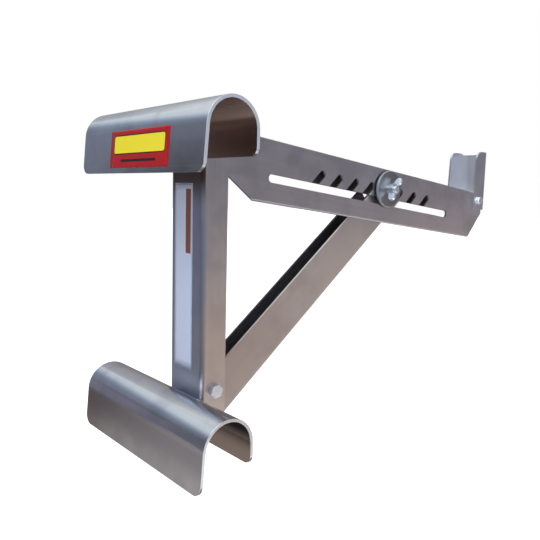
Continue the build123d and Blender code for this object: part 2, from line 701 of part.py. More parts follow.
with BuildPart() as stop_nut:
    with BuildSketch(cross_plane(stop_bolt_x, stop_far, stop_bolt_z)):
        RegularPolygon(stop_head_af / 2, 6, major_radius=False, rotation=17)
        Circle(stop_bolt_d / 2 + pin_fit, mode=Mode.SUBTRACT)
    extrude(amount=-stop_nut_t)
stop_nut.part.label = "stop_nut"
export_step(stop_nut.part, "parts/stop_nut.step")
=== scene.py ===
"""Looks for the ladder jack: mill-finish aluminium, zinc-plated hardware and plain stickers."""
import math

import bmesh
import bpy
from mathutils import Matrix, Vector


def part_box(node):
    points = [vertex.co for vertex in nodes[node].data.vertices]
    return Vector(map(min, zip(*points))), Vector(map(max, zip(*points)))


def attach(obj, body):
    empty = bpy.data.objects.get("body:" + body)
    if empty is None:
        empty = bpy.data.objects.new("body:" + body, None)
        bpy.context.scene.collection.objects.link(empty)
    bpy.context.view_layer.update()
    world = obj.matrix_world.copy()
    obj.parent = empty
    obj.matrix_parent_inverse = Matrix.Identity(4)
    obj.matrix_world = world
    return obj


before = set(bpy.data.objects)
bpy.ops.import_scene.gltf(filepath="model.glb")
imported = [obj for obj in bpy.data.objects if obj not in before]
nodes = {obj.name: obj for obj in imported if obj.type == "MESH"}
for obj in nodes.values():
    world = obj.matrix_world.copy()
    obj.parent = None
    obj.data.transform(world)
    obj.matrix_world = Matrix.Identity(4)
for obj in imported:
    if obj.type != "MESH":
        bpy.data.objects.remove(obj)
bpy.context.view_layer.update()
scene = bpy.context.scene
scene.view_settings.view_transform = "Standard"
MM = 0.001
X, Y, Z = range(3)
LOW, HIGH = range(2)


# Camera: fitted to the photograph's saddles, pivots and arm
FOCAL_PX, FRAME_PX, SENSOR = 612.48, 540, 36
YAW, PITCH, ROLL = (math.radians(a) for a in (40.79, -7.18, 1.47))
CAMERA_AT = Vector((-343.08, -576.75, -57.46)) * MM
NEAREST, FARTHEST = 0.01, 100


def place_camera():
    forward = Vector((math.sin(YAW) * math.cos(PITCH), math.cos(YAW) * math.cos(PITCH), math.sin(PITCH)))
    right = Vector((math.cos(YAW), -math.sin(YAW), 0))
    up = right.cross(forward)
    rolled_right = math.cos(ROLL) * right + math.sin(ROLL) * up
    rolled_up = math.cos(ROLL) * up - math.sin(ROLL) * right
    data = bpy.data.cameras.new("camera")
    data.sensor_width = SENSOR
    data.lens = FOCAL_PX / FRAME_PX * SENSOR
    data.clip_start = NEAREST
    data.clip_end = FARTHEST
    camera = bpy.data.objects.new("camera", data)
    scene.collection.objects.link(camera)
    turn = Matrix((rolled_right, rolled_up, -forward)).transposed()
    camera.matrix_world = Matrix.Translation(CAMERA_AT) @ turn.to_4x4()
    scene.camera = camera


place_camera()


# Node helpers: most return a socket that the next one can take
def tree_of(name):
    """New material, its node tree and its shader."""
    material = bpy.data.materials.new(name)
    material.use_nodes = True
    tree = material.node_tree
    return material, tree, tree.nodes["Principled BSDF"]


def add(tree, kind, **values):
    """New node; each value goes to the socket or the setting of that name."""
    node = tree.nodes.new(kind)
    for key, value in values.items():
        if key in node.inputs:
            node.inputs[key].default_value = value
        else:
            setattr(node, key, value)
    return node


def calculate(tree, operation, *values):
    """Arithmetic on sockets and plain numbers."""
    node = add(tree, "ShaderNodeMath", operation=operation)
    for socket, value in zip(node.inputs, values):
        if isinstance(value, (int, float)):
            socket.default_value = value
        else:
            tree.links.new(value, socket)
    return node.outputs[0]


def times(tree, product, *others):
    for other in others:
        product = calculate(tree, "MULTIPLY", product, other)
    return product


def plus(tree, a, b):
    return calculate(tree, "ADD", a, b)


def minus(tree, a, b):
    return calculate(tree, "SUBTRACT", a, b)


def squared(tree, value):
    return calculate(tree, "POWER", value, 2)


def unsigned(tree, value):
    return calculate(tree, "ABSOLUTE", value)


def larger(tree, a, b):
    return calculate(tree, "MAXIMUM", a, b)


def above(tree, value, limit):
    """1 where the value is over the limit, else 0."""
    return calculate(tree, "GREATER_THAN", value, limit)


def below(tree, value, limit):
    """1 where the value is under the limit, else 0."""
    return calculate(tree, "LESS_THAN", value, limit)


def span(tree, value, ends, at_low, at_high):
    """Smooth change from at_low to at_high as the value runs from one end to the other."""
    node = add(tree, "ShaderNodeMapRange", interpolation_type="SMOOTHSTEP")
    for key, number in zip(("From Min", "From Max", "To Min", "To Max"), (*ends, at_low, at_high)):
        node.inputs[key].default_value = number
    tree.links.new(value, node.inputs["Value"])
    return node.outputs["Result"]


def own(tree, source):
    """Coordinates of the piece itself: Object for the place, Normal for the way that a face looks."""
    return add(tree, "ShaderNodeTexCoord").outputs[source]


def split(tree, vector):
    """The vector's X, Y and Z."""
    axes = add(tree, "ShaderNodeSeparateXYZ")
    tree.links.new(vector, axes.inputs[0])
    return axes.outputs


def even(scale):
    return scale, scale, scale


def lengthwise(across, along, axis):
    """Scales that are the same but along one axis."""
    scales = [across] * 3
    scales[axis] = along
    return scales


NOISE_ROUGH = 0.55


def noise(tree, scales, detail, rough=NOISE_ROUGH, turn_y=0):
    """Noise in the piece's own space, turned about Y and then scaled, so that it can run along a piece."""
    turned = add(tree, "ShaderNodeMapping", Rotation=(0, math.radians(turn_y), 0))
    tree.links.new(own(tree, "Object"), turned.inputs["Vector"])
    scaled = add(tree, "ShaderNodeVectorMath", operation="MULTIPLY")
    scaled.inputs[1].default_value = scales
    tree.links.new(turned.outputs["Vector"], scaled.inputs[0])
    node = add(tree, "ShaderNodeTexNoise", Scale=1.0, Detail=detail, Roughness=rough)
    tree.links.new(scaled.outputs["Vector"], node.inputs["Vector"])
    return node.outputs["Fac"]


def ramp(tree, factor, stops):
    node = add(tree, "ShaderNodeValToRGB")
    elements = node.color_ramp.elements
    while len(elements) < len(stops):
        elements.new(0.5)
    for element, (position, colour) in zip(elements, stops):
        element.position = position
        element.color = (*colour, 1)
    tree.links.new(factor, node.inputs["Fac"])
    return node.outputs["Color"]


TONE_ENDS = (0.3, 0.7)


def two_tone(tree, factor, dark, light, ends=TONE_ENDS):
    return ramp(tree, factor, ((ends[LOW], dark), (ends[HIGH], light)))


def mix(tree, factor, colour, tone):
    """The colour where the factor is 0, the plain tone where it is 1."""
    node = add(tree, "ShaderNodeMix", data_type="RGBA")
    tree.links.new(factor, node.inputs["Factor"])
    tree.links.new(colour, node.inputs["A"])
    node.inputs["B"].default_value = (*tone, 1)
    return node.outputs["Result"]


def roughen(tree, shader, texture, least, swing):
    tree.links.new(plus(tree, least, times(tree, texture, swing)), shader.inputs["Roughness"])


def emboss(tree, shader, height, strength, depth):
    bump = add(tree, "ShaderNodeBump", Strength=strength, Distance=depth)
    tree.links.new(height, bump.inputs["Height"])
    tree.links.new(bump.outputs["Normal"], shader.inputs["Normal"])


def dull(tree, share):
    """Lets a share of a metal scatter light as a dull coat does."""
    tree.links.new(minus(tree, 1.0, share), tree.nodes["Principled BSDF"].inputs["Metallic"])


# Metals: marks, where given, lays local tones over the colour
ROUGH_SWING = 0.2
STREAKS_ACROSS, STREAKS_ALONG, STREAK_DETAIL = 420.0, 3.0, 3.0
CLOUDS_ACROSS, CLOUDS_ALONG, CLOUD_DETAIL, CLOUD_ROUGH = 22.0, 5.0, 6.0, 0.6
STREAK_SHARE, STREAK_RELIEF, STREAK_DEPTH = 0.35, 0.03, 0.3 * MM
SMUDGES, SMUDGE_DETAIL, SMUDGE_ENDS, SMUDGE_MOST = 25.0, 2.0, (0.40, 0.72), 0.6
SMUDGE_TINT = (0.80, 0.808, 0.84)
GRAIN, GRAIN_DETAIL, GRAIN_RELIEF, GRAIN_DEPTH = 900, 3.0, 0.08, 0.2 * MM
PASSIVATION, PASSIVATION_DETAIL = 70, 5.0


def aluminium(name, along, dark, light, rough, marks=None, turn_y=0):
    """Mill finish: drawing lines along the piece, cloudy oxide and smudges."""
    material, tree, shader = tree_of(name)
    streak_scales = lengthwise(STREAKS_ACROSS, STREAKS_ALONG, along)
    cloud_scales = lengthwise(CLOUDS_ACROSS, CLOUDS_ALONG, along)
    lines = noise(tree, streak_scales, STREAK_DETAIL, turn_y=turn_y)
    clouds = noise(tree, cloud_scales, CLOUD_DETAIL, CLOUD_ROUGH, turn_y)
    blend = plus(tree, times(tree, lines, STREAK_SHARE), times(tree, clouds, 1 - STREAK_SHARE))
    colour = two_tone(tree, blend, dark, light)
    smudge = span(tree, noise(tree, even(SMUDGES), SMUDGE_DETAIL), SMUDGE_ENDS, 0.0, SMUDGE_MOST)
    colour = mix(tree, smudge, colour, tuple(tint * tone for tint, tone in zip(SMUDGE_TINT, dark)))
    if marks:
        colour = marks(tree, colour)
    tree.links.new(colour, shader.inputs["Base Color"])
    shader.inputs["Metallic"].default_value = 1.0
    roughen(tree, shader, blend, rough - ROUGH_SWING / 2, ROUGH_SWING)
    emboss(tree, shader, lines, STREAK_RELIEF, STREAK_DEPTH)
    return material


def zinc(name, dark, light, rough, marks=None):
    """Bright zinc plate: fine grain with cloudy passivation."""
    material, tree, shader = tree_of(name)
    grain = noise(tree, even(GRAIN), GRAIN_DETAIL)
    colour = two_tone(tree, noise(tree, even(PASSIVATION), PASSIVATION_DETAIL), dark, light)
    if marks:
        colour = marks(tree, colour)
    tree.links.new(colour, shader.inputs["Base Color"])
    shader.inputs["Metallic"].default_value = 1.0
    roughen(tree, shader, grain, rough - ROUGH_SWING / 2, ROUGH_SWING)
    emboss(tree, shader, grain, GRAIN_RELIEF, GRAIN_DEPTH)
    return material


# Saddles: heights are over the axis of the saddle's own rung
RUNG_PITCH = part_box("upper_saddle")[HIGH][Z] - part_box("lower_saddle")[HIGH][Z]
SADDLE_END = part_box("upper_saddle")[HIGH][Y]
END_SKIN, BORE_INWARD = 0.7 * MM, -4 * MM
FRONT_FACE, FOOT_FACE = -0.9, -0.3
# Painted dark reflection band on the lower saddle's front leg, and painted shade on down-facing faces.
LEG_DARK_REFLECTION, REFLECTION_MOST, UNDERSIDE_SHADE = (0.36, 0.37, 0.41), 0.9, (0.36, 0.37, 0.40)
REFLECTION_RISE, REFLECTION_FADE = (-38 * MM, -6 * MM), (-2 * MM, 12 * MM)
# Painted shade inside the saddles' bores: darker in the lower saddle, deepest and dull at its crown.
BORE_SHADE, LOWER_BORE_SHADE = (0.54, 0.45, 0.41), (0.37, 0.31, 0.28)
BORE_DEEP_SHADE, DEEP_SHADE_RISE = (0.17, 0.14, 0.115), (-14 * MM, 14 * MM)
CROWN_SHADE, CROWN_RISE = (0.035, 0.03, 0.03), (-3 * MM, 13 * MM)
# Cut ends: paler as bare sheared metal, with a painted highlight that fades down the legs and lights the
# upper saddle's whole rim.
CUT_AND_HIGHLIGHT, CUT_RISE, EDGE_SCATTER = (0.80, 0.84, 0.90), (-26 * MM, 8 * MM), 0.5


def saddle_light_and_shade(tree, colour):
    """Painted shade in the bores and on down-facing faces, and on the lower saddle a painted dark crown and
    a painted dark reflection down the front leg; cut ends paler, partly as bare sheared metal and partly as
    painted highlight.
    """
    at = split(tree, own(tree, "Object"))
    facing = split(tree, own(tree, "Normal"))
    height = calculate(tree, "WRAP", at[Z], RUNG_PITCH / 2, -RUNG_PITCH / 2)
    outward = plus(tree, times(tree, at[X], facing[X]), times(tree, height, facing[Z]))
    bore = below(tree, outward, BORE_INWARD)
    end = above(tree, unsigned(tree, at[Y]), SADDLE_END - END_SKIN)
    lower = below(tree, at[Z], -RUNG_PITCH / 2)
    front = below(tree, facing[X], FRONT_FACE)

    # Painted dark reflection band down the lower saddle's front leg, below the bend.
    dark_band = times(tree, lower, span(tree, height, REFLECTION_RISE, 0.0, REFLECTION_MOST), front)
    dark_band = times(tree, dark_band, span(tree, height, REFLECTION_FADE, 1.0, 0.0))
    colour = mix(tree, dark_band, colour, LEG_DARK_REFLECTION)
    # Painted shade on faces that look down.
    colour = mix(tree, below(tree, facing[Z], FOOT_FACE), colour, UNDERSIDE_SHADE)

    # Painted shade in the bores, deepening towards the lower saddle's crown.
    lower_bore = times(tree, bore, lower)
    deep_shade = times(tree, lower_bore, span(tree, height, DEEP_SHADE_RISE, 0.0, 1.0))
    crown = times(tree, lower_bore, span(tree, height, CROWN_RISE, 0.0, 1.0))
    bore_shades = ((bore, BORE_SHADE), (lower_bore, LOWER_BORE_SHADE), (deep_shade, BORE_DEEP_SHADE), (crown, CROWN_SHADE))
    for mask, tone in bore_shades:
        colour = mix(tree, mask, colour, tone)

    # Painted highlight over the upper saddle's whole rim, made dull, and the lower bore's crown of painted
    # shade made dull; the cut ends are paler partly as bare metal, partly as painted highlight.
    upper_end = times(tree, end, minus(tree, 1.0, lower))
    dull(tree, larger(tree, crown, times(tree, upper_end, EDGE_SCATTER)))
    tree.nodes["Principled BSDF"].inputs["Specular IOR Level"].default_value = 0.0
    lit_cut = times(tree, end, span(tree, height, CUT_RISE, 0.0, 1.0))
    return mix(tree, larger(tree, lit_cut, upper_end), colour, CUT_AND_HIGHLIGHT)


# Channels: each is open one way, with a wall on either side in Y
WALL_T = 2.95 * MM
# Painted shade for channel insides, and painted light for the stop's insides.
INSIDE_SHADE, INSIDE_LIGHT = (0.20, 0.19, 0.19), (0.94, 0.96, 1.0)
INSIDE_FACE, FAR_LIP_FACE, NEAR_LIP_FACE = -0.4, 0.5, 0.3


def hollow_light_and_shade(name, opening, tone=INSIDE_SHADE, strength=1.0, far_lip=None, near_lip=None):
    """Painted shade on a channel's inside, or painted light where the tone given is pale, and, where given,
    painted shade on the open edges of its +Y and -Y walls.
    """
    low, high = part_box(name)[LOW][Y] + WALL_T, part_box(name)[HIGH][Y] - WALL_T

    def marks(tree, colour):
        across = split(tree, own(tree, "Object"))[Y]
        outlook = add(tree, "ShaderNodeVectorMath", operation="DOT_PRODUCT")
        outlook.inputs[1].default_value = opening
        tree.links.new(own(tree, "Normal"), outlook.inputs[0])
        facing = outlook.outputs["Value"]
        between = times(tree, above(tree, across, low), below(tree, across, high))
        inside = times(tree, between, above(tree, facing, INSIDE_FACE), strength)
        colour = mix(tree, inside, colour, tone)
        if far_lip:
            edge = times(tree, above(tree, across, high), above(tree, facing, FAR_LIP_FACE))
            colour = mix(tree, edge, colour, far_lip)
        if near_lip:
            edge = times(tree, below(tree, across, low), above(tree, facing, NEAR_LIP_FACE))
            colour = mix(tree, edge, colour, near_lip)
        return colour

    return marks


SADDLE_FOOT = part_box("upper_saddle")[LOW][Z]
POST_SHADE_SHARE, SQUARE_ON, TINT = 0.7, 0.5, 0.5
# Painted light: a cool tint on the web, and a warm one on the flanks that fades upwards.
WEB_COOL_LIGHT, FLANK_WARM_LIGHT, WARM_FADE = (0.37, 0.43, 0.60), (0.61, 0.50, 0.435), (-230 * MM, -130 * MM)
# Painted shadow on the web close under the upper saddle.
SADDLE_SHADOW, SHADOW_MOST, SHADOW_DEPTH = (0.14, 0.095, 0.075), 0.95, 36 * MM
# Painted shade inside the post channel.
post_inside_shade = hollow_light_and_shade("post_channel", (1, 0, 0), INSIDE_SHADE, POST_SHADE_SHARE)


def post_light_and_shade(tree, colour):
    """Painted light as a cool web and flanks that warm towards the foot, painted shade inside, and a painted
    shadow close under the upper saddle.
    """
    height = split(tree, own(tree, "Object"))[Z]
    facing = split(tree, own(tree, "Normal"))
    web = below(tree, facing[X], -SQUARE_ON)
    flank = above(tree, unsigned(tree, facing[Y]), SQUARE_ON)
    # Painted light: cool on the web, warm on the flanks towards the foot.
    colour = mix(tree, times(tree, web, TINT), colour, WEB_COOL_LIGHT)
    colour = mix(tree, times(tree, flank, span(tree, height, WARM_FADE, TINT, 0.0)), colour, FLANK_WARM_LIGHT)
    # Painted shadow on the web close under the upper saddle.
    shadowed = span(tree, height, (SADDLE_FOOT - SHADOW_DEPTH, SADDLE_FOOT), 0.0, SHADOW_MOST)
    return mix(tree, times(tree, web, shadowed), post_inside_shade(tree, colour), SADDLE_SHADOW)


ARM_SLOPE, STRUT_RISE = 6.8, 38.7
ARM_OPEN = (-math.sin(math.radians(ARM_SLOPE)), 0, -math.cos(math.radians(ARM_SLOPE)))
STRUT_OPEN = (-math.sin(math.radians(STRUT_RISE)), 0, math.cos(math.radians(STRUT_RISE)))
# Painted shade: the arm's down-facing near edge, the strut's far open edge and the strut's inside.
ARM_LIP_SHADE, STRUT_LIP_SHADE, STRUT_INSIDE_SHADE = (0.34, 0.34, 0.37), (0.05, 0.05, 0.055), (0.40, 0.39, 0.41)
STRUT_FOOT, FOOT_FADE, FOOT_MOST = (0.42, 0.34, 0.30), (60 * MM, 190 * MM), 0.6
STRUT_HEAD, HEAD_RISE, HEAD_MOST = (0.78, 0.75, 0.72), (130 * MM, 260 * MM), 0.45
# Painted shade inside the strut and on its far wall's open edge.
strut_inside_shade = hollow_light_and_shade("strut_channel", STRUT_OPEN, STRUT_INSIDE_SHADE, far_lip=STRUT_LIP_SHADE)
# Painted shade inside the arm and on its near wall's down-facing edge.
arm_shade = hollow_light_and_shade("arm_channel", ARM_OPEN, near_lip=ARM_LIP_SHADE)


def strut_tones_and_shade(tree, colour):
    """Darker and warmer towards the foot, paler towards the clamp, and painted shade on the inside."""
    reach = split(tree, own(tree, "Object"))[X]
    colour = mix(tree, span(tree, reach, FOOT_FADE, FOOT_MOST, 0.0), colour, STRUT_FOOT)
    colour = mix(tree, span(tree, reach, HEAD_RISE, 0.0, HEAD_MOST), colour, STRUT_HEAD)
    return strut_inside_shade(tree, colour)


# Painted light on the stop's inside faces.
STOP_LIGHT_SHARE = 0.75
stop_inside_light = hollow_light_and_shade("plank_stop", (-1, 0, 0), INSIDE_LIGHT, STOP_LIGHT_SHARE)


# Clamp disc
DISC_LOW, DISC_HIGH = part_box("clamp_disc")
# Painted light on the disc's rim.
RIM_LIGHT, RIM_SCATTER, RIM_EDGE = (0.33, 0.345, 0.38), 0.7, 0.5 * MM


def disc_rim_light(tree, colour):
    """Painted light on the rim, found by its distance from the disc's axis: a paler tone, made partly dull.
    """
    at = split(tree, own(tree, "Object"))
    off_axis = [minus(tree, at[axis], (DISC_LOW[axis] + DISC_HIGH[axis]) / 2) for axis in (X, Z)]
    rim_from = (DISC_HIGH[X] - DISC_LOW[X]) / 2 - RIM_EDGE
    rim = above(tree, plus(tree, *(squared(tree, away) for away in off_axis)), rim_from * rim_from)
    dull(tree, times(tree, rim, RIM_SCATTER))
    return mix(tree, rim, colour, RIM_LIGHT)


# Wear washer
NYLON_CLOUDS, NYLON_DETAIL, NYLON_ROUGH = 200, 4.0, 0.55
NYLON_DARK, NYLON_LIGHT = (0.02, 0.02, 0.022), (0.045, 0.045, 0.05)


def nylon(name):
    """Black nylon with faint clouds."""
    material, tree, shader = tree_of(name)
    clouds = noise(tree, even(NYLON_CLOUDS), NYLON_DETAIL)
    tree.links.new(two_tone(tree, clouds, NYLON_DARK, NYLON_LIGHT), shader.inputs["Base Color"])
    shader.inputs["Roughness"].default_value = NYLON_ROUGH
    return material


# Materials on the nodes
def put(material, *names):
    for name in names:
        slots = nodes[name].data.materials
        slots.clear()
        slots.append(material)


FASTENERS = ("arm_pivot", "strut_pivot", "stop")
HEX_PIECES = [fastener + kind for fastener in FASTENERS for kind in ("_bolt", "_nut")]
BUSH_PIECES = ("arm_bushes", "strut_bushes", "pivot_spacers", "strut_collar")

saddle_metal = aluminium(
    "saddle_aluminium", along=Y, rough=0.21, marks=saddle_light_and_shade,
    dark=(0.56, 0.57, 0.60), light=(0.67, 0.68, 0.71),
)
post_metal = aluminium(
    "post_aluminium", along=Z, rough=0.34, marks=post_light_and_shade,
    dark=(0.54, 0.53, 0.54), light=(0.68, 0.67, 0.67),
)
arm_metal = aluminium(
    "arm_aluminium", along=X, turn_y=-ARM_SLOPE, rough=0.36, marks=arm_shade,
    dark=(0.54, 0.53, 0.55), light=(0.66, 0.65, 0.67),
)
strut_metal = aluminium(
    "strut_aluminium", along=X, turn_y=STRUT_RISE, rough=0.38, marks=strut_tones_and_shade,
    dark=(0.56, 0.53, 0.52), light=(0.68, 0.65, 0.63),
)
stop_metal = aluminium(
    "stop_aluminium", along=Z, rough=0.34, marks=stop_inside_light,
    dark=(0.50, 0.52, 0.56), light=(0.74, 0.76, 0.80),
)
rivet_metal = aluminium(
    "rivet_aluminium", along=Y, rough=0.36,
    dark=(0.54, 0.54, 0.54), light=(0.68, 0.68, 0.68),
)
bright_zinc = zinc("zinc_steel", dark=(0.74, 0.82, 0.90), light=(0.88, 0.94, 1.0), rough=0.34)
nut_zinc = zinc("nut_zinc", dark=(0.70, 0.76, 0.84), light=(0.86, 0.92, 1.0), rough=0.38)
bush_steel = zinc("bush_steel", dark=(0.32, 0.32, 0.34), light=(0.46, 0.46, 0.48), rough=0.42)
disc_zinc = zinc(
    "disc_zinc", rough=0.44, marks=disc_rim_light,
    dark=(0.26, 0.27, 0.292), light=(0.348, 0.362, 0.394),
)

put(saddle_metal, "upper_saddle", "lower_saddle")
put(post_metal, "post_channel")
put(arm_metal, "arm_channel")
put(strut_metal, "strut_channel")
put(stop_metal, "plank_stop")
put(rivet_metal, "saddle_rivets")
put(bright_zinc, *HEX_PIECES, "pivot_washers")
put(nut_zinc, "clamp_bolt", "wing_nut")
put(disc_zinc, "clamp_disc")
put(bush_steel, *BUSH_PIECES)
put(nylon("wear_nylon"), "wear_washer")


# Edges: welded facets, softened corners and normals that keep flat faces flat
WELD_GAP, FLAT_WITHIN = 0.01 * MM, math.radians(0.6)
CORNER_OVER, CORNER_STEPS = math.radians(35), 2
SHEET_PIECES = ("upper_saddle", "lower_saddle", "post_channel", "arm_channel", "strut_channel", "plank_stop")
FINE_PIECES = ("clamp_disc", "wing_nut", "clamp_bolt", "pivot_washers")
EDGE_WIDTHS = ((0.45 * MM, SHEET_PIECES), (0.35 * MM, HEX_PIECES), (0.25 * MM, FINE_PIECES))


def soften(piece, width):
    weld = piece.modifiers.new("weld", "WELD")
    weld.merge_threshold = WELD_GAP
    flat = piece.modifiers.new("flat", "DECIMATE")
    flat.decimate_type = "DISSOLVE"
    flat.angle_limit = FLAT_WITHIN
    corners = piece.modifiers.new("edges", "BEVEL")
    corners.width = width
    corners.segments = CORNER_STEPS
    corners.limit_method = "ANGLE"
    corners.angle_limit = CORNER_OVER
    corners.use_clamp_overlap = True
    normals = piece.modifiers.new("normals", "WEIGHTED_NORMAL")
    normals.mode = "FACE_AREA"
    normals.keep_sharp = False


for edge_width, softened in EDGE_WIDTHS:
    for node_name in softened:
        soften(nodes[node_name], edge_width)


# New pieces
def new_object(name, form, material):
    """Object in the scene, made from a bmesh that is then freed."""
    mesh = bpy.data.meshes.new(name)
    form.to_mesh(mesh)
    form.free()
    mesh.materials.append(material)
    piece = bpy.data.objects.new(name, mesh)
    scene.collection.objects.link(piece)
    return piece


# Threads: helical ridges on the bolts' bare ends
BOLT_R, BOLT_PITCH = 4.7625 * MM, 1.5875 * MM
STOP_BOLT_R, STOP_BOLT_PITCH = 3.175 * MM, 1.27 * MM
CREST, RIDGE_SHARE, TURN_STEPS = 0.14 * MM, 0.8, 24
BARE_TIP, CLAMP_THREAD = 0.9 * MM, 9 * MM


def thread(name, body, centre, y_from, y_to, radius, pitch, material):
    """Helical ridge along Y, standing a little proud of a bolt."""
    form = bmesh.new()
    ridge = RIDGE_SHARE * pitch
    rings = []
    for k in range(int((y_to - y_from - ridge) / pitch * TURN_STEPS) + 1):
        angle = 2 * math.pi * k / TURN_STEPS
        y = y_from + pitch * k / TURN_STEPS
        profile = ((radius - CREST, y), (radius + CREST, y + ridge / 2), (radius - CREST, y + ridge))
        across, up = math.cos(angle), math.sin(angle)
        spots = [(centre[0] + r * across, v, centre[1] + r * up) for r, v in profile]
        rings.append([form.verts.new(spot) for spot in spots])
    for one, two in zip(rings, rings[1:]):
        for k, following in ((0, 1), (1, 2), (2, 0)):
            form.faces.new((one[k], two[k], two[following], one[following]))
    form.faces.new(rings[0])
    form.faces.new(reversed(rings[-1]))
    bmesh.ops.recalc_face_normals(form, faces=form.faces)
    piece = new_object(name, form, material)
    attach(piece, body)


def middle(name):
    """X and Z of a node's middle."""
    low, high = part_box(name)
    return (low[X] + high[X]) / 2, (low[Z] + high[Z]) / 2


def nut_to_tip(fastener):
    """Y of a nut's outer face, and of the end of the thread that stands out of it."""
    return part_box(fastener + "_nut")[HIGH][Y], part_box(fastener + "_bolt")[HIGH][Y] - BARE_TIP


for pivot in ("arm_pivot", "strut_pivot"):
    pivot_axis = middle(pivot + "_bolt")
    thread(pivot + "_thread", "post", pivot_axis, *nut_to_tip(pivot), BOLT_R, BOLT_PITCH, bright_zinc)
stop_axis = middle("stop_bolt")
thread("stop_thread", "arm", stop_axis, *nut_to_tip("stop"), STOP_BOLT_R, STOP_BOLT_PITCH, bright_zinc)
clamp_axis, clamp_tip = middle("clamp_disc"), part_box("clamp_bolt")[LOW][Y]
clamp_ends = (clamp_tip + BARE_TIP, clamp_tip + CLAMP_THREAD)
thread("clamp_thread", "strut", clamp_axis, *clamp_ends, BOLT_R, BOLT_PITCH, nut_zinc)


# Stickers: plain printed vinyl, no words
STICKER_T, LIFT = 0.14 * MM, 0.16 * MM
UV_NAME = "label"
SCUFFS, SCUFF_DETAIL, SCUFF_ROUGH, SCUFF_ENDS = 60, 6.0, 0.65, (0.3, 0.62)
WORN_SHARE, SCUFF_SWING, SCUFF_RELIEF, SCUFF_DEPTH = 0.84, 0.25, 0.1, 0.3 * MM
VINYL_SHEEN = 0.25


def sticker_piece(name, rows, cols, spot, material):
    """Thin sticker laid over spot(u, v), with its own map running 0 to 1 each way."""
    form = bmesh.new()
    layer = form.loops.layers.uv.new(UV_NAME)
    grid = []
    places = {}
    for r in range(rows + 1):
        grid.append([])
        for c in range(cols + 1):
            u, v = c / cols, r / rows
            vert = form.verts.new(spot(u, v))
            places[vert] = (u, v)
            grid[r].append(vert)
    for r in range(rows):
        for c in range(cols):
            face = form.faces.new((grid[r][c], grid[r][c + 1], grid[r + 1][c + 1], grid[r + 1][c]))
            face.smooth = True
            for loop in face.loops:
                loop[layer].uv = places[loop.vert]
    piece = new_object(name, form, material)
    thick = piece.modifiers.new("thickness", "SOLIDIFY")
    thick.thickness = STICKER_T
    thick.offset = -1
    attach(piece, "post")


def plate(tree, axes, size, centre, half, corner):
    """1 inside a rounded rectangle, in the sticker's own units, else 0."""
    over = []
    for axis in (X, Y):
        away = minus(tree, times(tree, axes[axis], size[axis]), centre[axis])
        past = minus(tree, unsigned(tree, away), half[axis] - corner)
        over.append(squared(tree, larger(tree, past, 0)))
    return below(tree, plus(tree, *over), corner * corner)


def vinyl(name, size, field, plates, rough):
    """Printed vinyl: a plain field with rounded plates laid over it in turn, a little scuffed."""
    material, tree, shader = tree_of(name)
    axes = split(tree, add(tree, "ShaderNodeUVMap", uv_map=UV_NAME).outputs["UV"])
    scuff = noise(tree, even(SCUFFS), SCUFF_DETAIL, SCUFF_ROUGH)
    worn = tuple(WORN_SHARE * tone for tone in field)
    colour = two_tone(tree, scuff, worn, field, SCUFF_ENDS)
    for tone, centre, half, corner in plates:
        colour = mix(tree, plate(tree, axes, size, centre, half, corner), colour, tone)
    tree.links.new(colour, shader.inputs["Base Color"])
    shader.inputs["Specular IOR Level"].default_value = VINYL_SHEEN
    roughen(tree, shader, scuff, rough, SCUFF_SWING)
    emboss(tree, shader, scuff, SCUFF_RELIEF, SCUFF_DEPTH)
    return material


def shares(size, across, up):
    """Point or half size, given as shares of a sticker's width and height."""
    return across * size[X], up * size[Y]


def inset(half, by):
    return tuple(h - by for h in half)


# Saddle sticker: from the bend down the front leg
SPLAY = math.radians(4.7)
STICKER_TOP, STICKER_DROP = 4 * MM, 35 * MM
STICKER_SIDES = (-65 * MM, 56 * MM)
SADDLE_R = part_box("upper_saddle")[HIGH][X]
ARC_FROM = math.asin(STICKER_TOP / SADDLE_R)
ARC_LENGTH = SADDLE_R * (ARC_FROM - SPLAY)
LEG_LENGTH = (STICKER_DROP + SADDLE_R * math.sin(SPLAY)) / math.cos(SPLAY)


def on_saddle(u, v):
    """Point over the saddle's front: v runs up the leg and on to the bend."""
    y = STICKER_SIDES[HIGH] + (STICKER_SIDES[LOW] - STICKER_SIDES[HIGH]) * u
    down = (1 - v) * (ARC_LENGTH + LEG_LENGTH)
    angle = ARC_FROM - min(down, ARC_LENGTH) / SADDLE_R
    run = max(down - ARC_LENGTH, 0)
    r = SADDLE_R + LIFT
    return -r * math.cos(angle) - run * math.sin(SPLAY), y, r * math.sin(angle) - run * math.cos(SPLAY)


RED, YELLOW, INK = (0.48, 0.006, 0.009), (0.96, 0.80, 0.02), (0.016, 0.014, 0.016)
STICKER = (STICKER_SIDES[HIGH] - STICKER_SIDES[LOW], ARC_LENGTH + LEG_LENGTH)
PLATE_MID, PLATE_HALF = shares(STICKER, 0.5, 0.62), shares(STICKER, 0.44, 0.26)
BAR_MID, BAR_HALF = shares(STICKER, 0.5, 0.19), shares(STICKER, 0.30, 0.035)
PLATE_CORNER, BAR_CORNER, KEYLINE = 4 * MM, 1.2 * MM, 1.2 * MM
STICKER_ROWS, STICKER_COLS, STICKER_ROUGH = 26, 12, 0.22
sticker_plates = (
    (INK, PLATE_MID, PLATE_HALF, PLATE_CORNER),
    (YELLOW, PLATE_MID, inset(PLATE_HALF, KEYLINE), PLATE_CORNER - KEYLINE),
    (INK, BAR_MID, BAR_HALF, BAR_CORNER),
)
sticker_vinyl = vinyl("sticker_vinyl", STICKER, RED, sticker_plates, STICKER_ROUGH)
sticker_piece("saddle_sticker", STICKER_ROWS, STICKER_COLS, on_saddle, sticker_vinyl)


